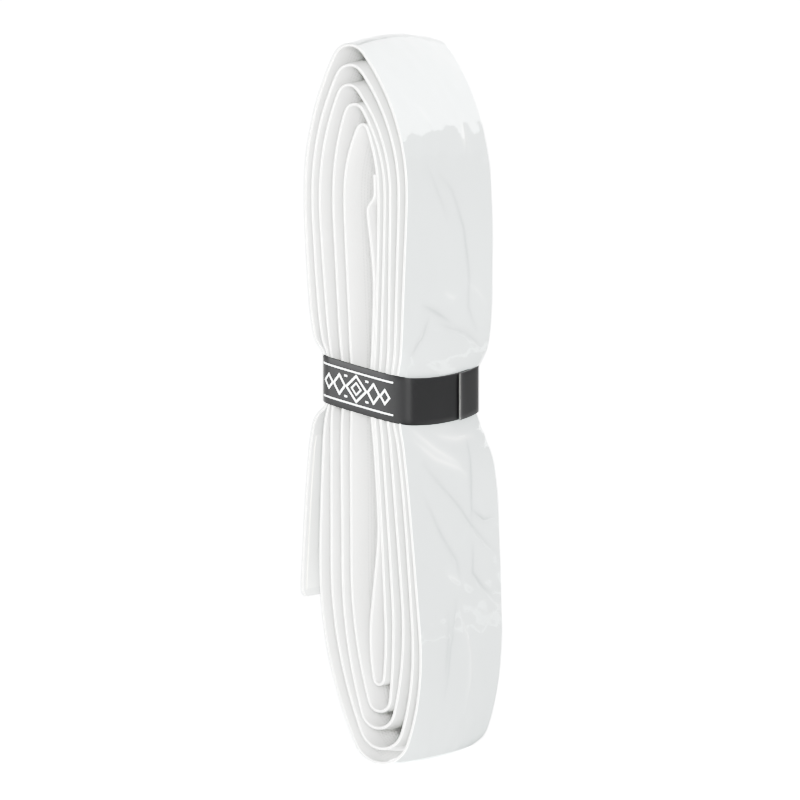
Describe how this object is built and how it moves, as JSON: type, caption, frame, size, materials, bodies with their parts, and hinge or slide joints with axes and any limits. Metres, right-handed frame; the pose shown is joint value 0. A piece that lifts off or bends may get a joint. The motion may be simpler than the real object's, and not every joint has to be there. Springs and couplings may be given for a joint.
{
  "type": "folded racket grip tape",
  "caption": "Length of laminated racket grip tape folded into a flat upright spiral hank, held at the waist by a paper sleeve that slides off.",
  "frame": {"origin": "centre of the whole object's box", "axes": "+Z along the hank towards the end the sleeve slides off; the tape's cut edges face -Y and +Y; the film-covered outer face of the tape is +X, and the free end is on -X"},
  "size_m": [0.0212, 0.0258, 0.1088],
  "materials": {
    "skin": "soft white tacky polyurethane skin, matte",
    "backing": "white non-woven with a fine embossed dot pattern",
    "film": "clear glossy crinkled protective film",
    "adhesive": "clear pressure-sensitive adhesive",
    "liner": "smooth white release paper",
    "sleeve_paper": "satin dark printed paper with pale cut edges",
    "glue": "dried paper glue"
  },
  "bodies": {
    "hank": {"tape_backing": "backing", "tape_skin": "skin", "tape_film": "film"},
    "free_end": {"free_end_backing": "backing", "free_end_skin": "skin", "free_end_film": "film", "starter_adhesive": "adhesive", "starter_liner": "liner"},
    "sleeve": {"paper_sleeve": "sleeve_paper", "sleeve_glue": "glue"}
  },
  "joints": [
    {"name": "sleeve_slide", "type": "slide", "parent": "hank", "child": "sleeve", "axis": [0, 0, 1], "range_m": [0, 0.06], "deforming": ["tape_backing", "tape_skin", "tape_film"]},
    {"name": "free_end_bend", "type": "hinge", "parent": "hank", "child": "free_end", "pos_m": [-0.00662, 0, -0.0002], "axis": [0, 1, 0], "range_deg": [-5, 60], "stiffness_Nm_per_rad": 0.0003}
  ]
}
